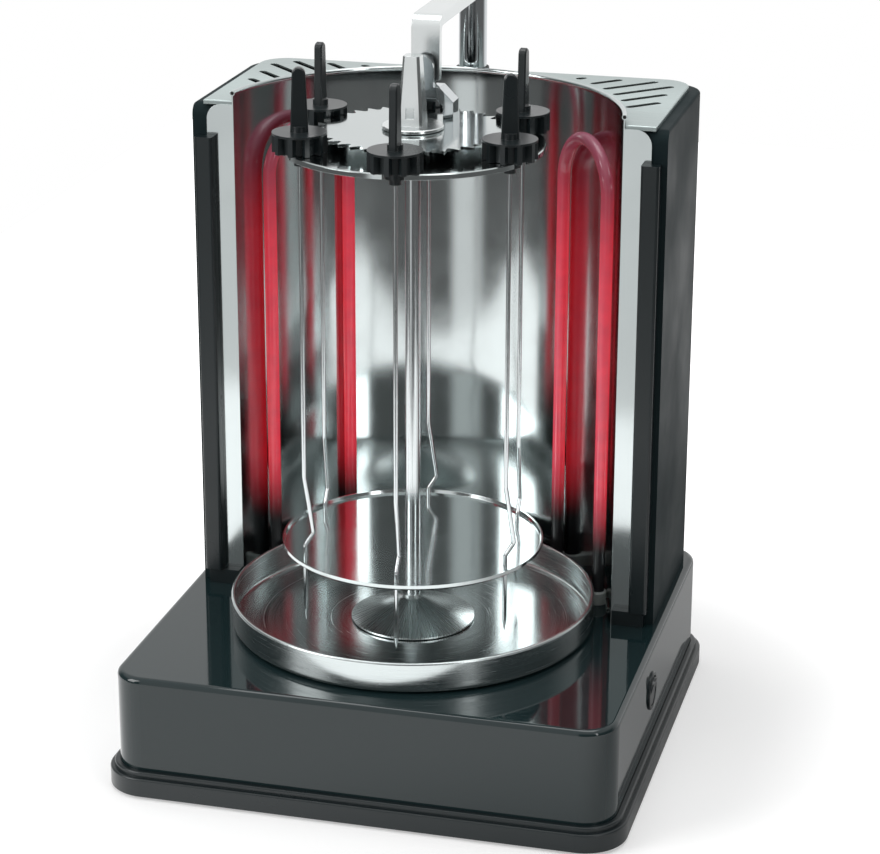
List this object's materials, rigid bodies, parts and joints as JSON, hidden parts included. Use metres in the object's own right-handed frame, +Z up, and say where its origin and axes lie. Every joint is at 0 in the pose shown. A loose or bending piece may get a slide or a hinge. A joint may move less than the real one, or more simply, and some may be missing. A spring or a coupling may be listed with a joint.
{
  "type": "electric skewer grill",
  "caption": "Table-top electric skewer grill: a driven spit turns geared skewers in front of a heated reflector tower, over a round drip tray on a boxy base.",
  "frame": {"origin": "middle of the footprint, on the surface that the feet stand on", "axes": "+Z up along the spit, +Y to the back, +X to the right seen from the front"},
  "size_m": [0.304, 0.2894, 0.435],
  "materials": {
    "gloss_black": "gloss moulded",
    "satin_black": "satin moulded",
    "shell_black": "satin paint",
    "rubber": "matt",
    "screw_steel": "plated",
    "motor_metal": "zinc plated",
    "inner_plastic": "moulded",
    "mirror_steel": "mirror",
    "chrome": "mirror",
    "bar_steel": "drawn",
    "satin_steel": "satin",
    "tray_steel": "brushed",
    "heater_red": "hot metal sheath",
    "ceramic": "unglazed",
    "head_black": "moulded"
  },
  "bodies": {
    "root": {"base_floor": "satin_black", "base_housing": "gloss_black", "base_feet": "rubber", "floor_screws": "screw_steel", "drive_motor": "motor_metal", "motor_screws": "screw_steel", "sun_gear": "mirror_steel", "gear_yoke": "chrome", "arm_guide": "bar_steel", "arm_ring": "rubber", "tower_shell": "shell_black", "reflector": "mirror_steel", "top_plate": "satin_steel", "trim_strip_right": "satin_black", "trim_strip_left": "satin_black", "heater_right": "heater_red", "heater_left": "heater_red", "heater_bushes": "ceramic", "drip_tray": "tray_steel", "switch_case": "satin_black", "cord_gland": "rubber", "terminal_block": "inner_plastic", "heat_cutout": "motor_metal"},
    "spit": {"drive_coupling": "inner_plastic", "spit_shaft": "bar_steel", "drip_cone": "mirror_steel", "lower_disc": "mirror_steel", "upper_disc": "mirror_steel", "spit_hub": "chrome", "hub_collar": "chrome"},
    "skewer_1": {"skewer_rod_1": "bar_steel", "skewer_head_1": "head_black"},
    "skewer_2": {"skewer_rod_2": "bar_steel", "skewer_head_2": "head_black"},
    "skewer_3": {"skewer_rod_3": "bar_steel", "skewer_head_3": "head_black"},
    "skewer_4": {"skewer_rod_4": "bar_steel", "skewer_head_4": "head_black"},
    "skewer_5": {"skewer_rod_5": "bar_steel", "skewer_head_5": "head_black"},
    "skewer_6": {"skewer_rod_6": "bar_steel", "skewer_head_6": "head_black"},
    "arm": {"arm_post": "chrome", "arm_bar": "chrome", "arm_cap": "chrome"},
    "switch": {"switch_rocker": "head_black"}
  },
  "joints": [
    {"name": "spit_spin", "type": "hinge", "parent": "root", "child": "spit", "pos_m": [0, -0.014, 0.1], "axis": [0, 0, 1], "continuous": true},
    {"name": "skewer_spin_1", "type": "hinge", "parent": "spit", "child": "skewer_1", "pos_m": [-0.06195, 0.0123, 0.2], "axis": [0, 0, 1], "continuous": true},
    {"name": "skewer_spin_2", "type": "hinge", "parent": "spit", "child": "skewer_2", "pos_m": [-0.05375, -0.0545, 0.2], "axis": [0, 0, 1], "continuous": true},
    {"name": "skewer_spin_3", "type": "hinge", "parent": "spit", "child": "skewer_3", "pos_m": [0.0082, -0.0808, 0.2], "axis": [0, 0, 1], "continuous": true},
    {"name": "skewer_spin_4", "type": "hinge", "parent": "spit", "child": "skewer_4", "pos_m": [0.06195, -0.0403, 0.2], "axis": [0, 0, 1], "continuous": true},
    {"name": "skewer_spin_5", "type": "hinge", "parent": "spit", "child": "skewer_5", "pos_m": [0.05375, 0.0265, 0.2], "axis": [0, 0, 1], "continuous": true},
    {"name": "skewer_spin_6", "type": "hinge", "parent": "spit", "child": "skewer_6", "pos_m": [-0.0082, 0.0528, 0.2], "axis": [0, 0, 1], "continuous": true},
    {"name": "arm_lift", "type": "slide", "parent": "root", "child": "arm", "axis": [0, 0, 1], "range_m": [0, 0.04]},
    {"name": "switch_press", "type": "hinge", "parent": "root", "child": "switch", "pos_m": [0.146, -0.0204, 0.046], "axis": [0, -1, 0], "range_deg": [0, 14]}
  ],
  "couplings": [
    {"joint": "skewer_spin_1", "follows": "spit_spin", "ratio": 3.8},
    {"joint": "skewer_spin_2", "follows": "spit_spin", "ratio": 3.8},
    {"joint": "skewer_spin_3", "follows": "spit_spin", "ratio": 3.8},
    {"joint": "skewer_spin_4", "follows": "spit_spin", "ratio": 3.8},
    {"joint": "skewer_spin_5", "follows": "spit_spin", "ratio": 3.8},
    {"joint": "skewer_spin_6", "follows": "spit_spin", "ratio": 3.8}
  ]
}
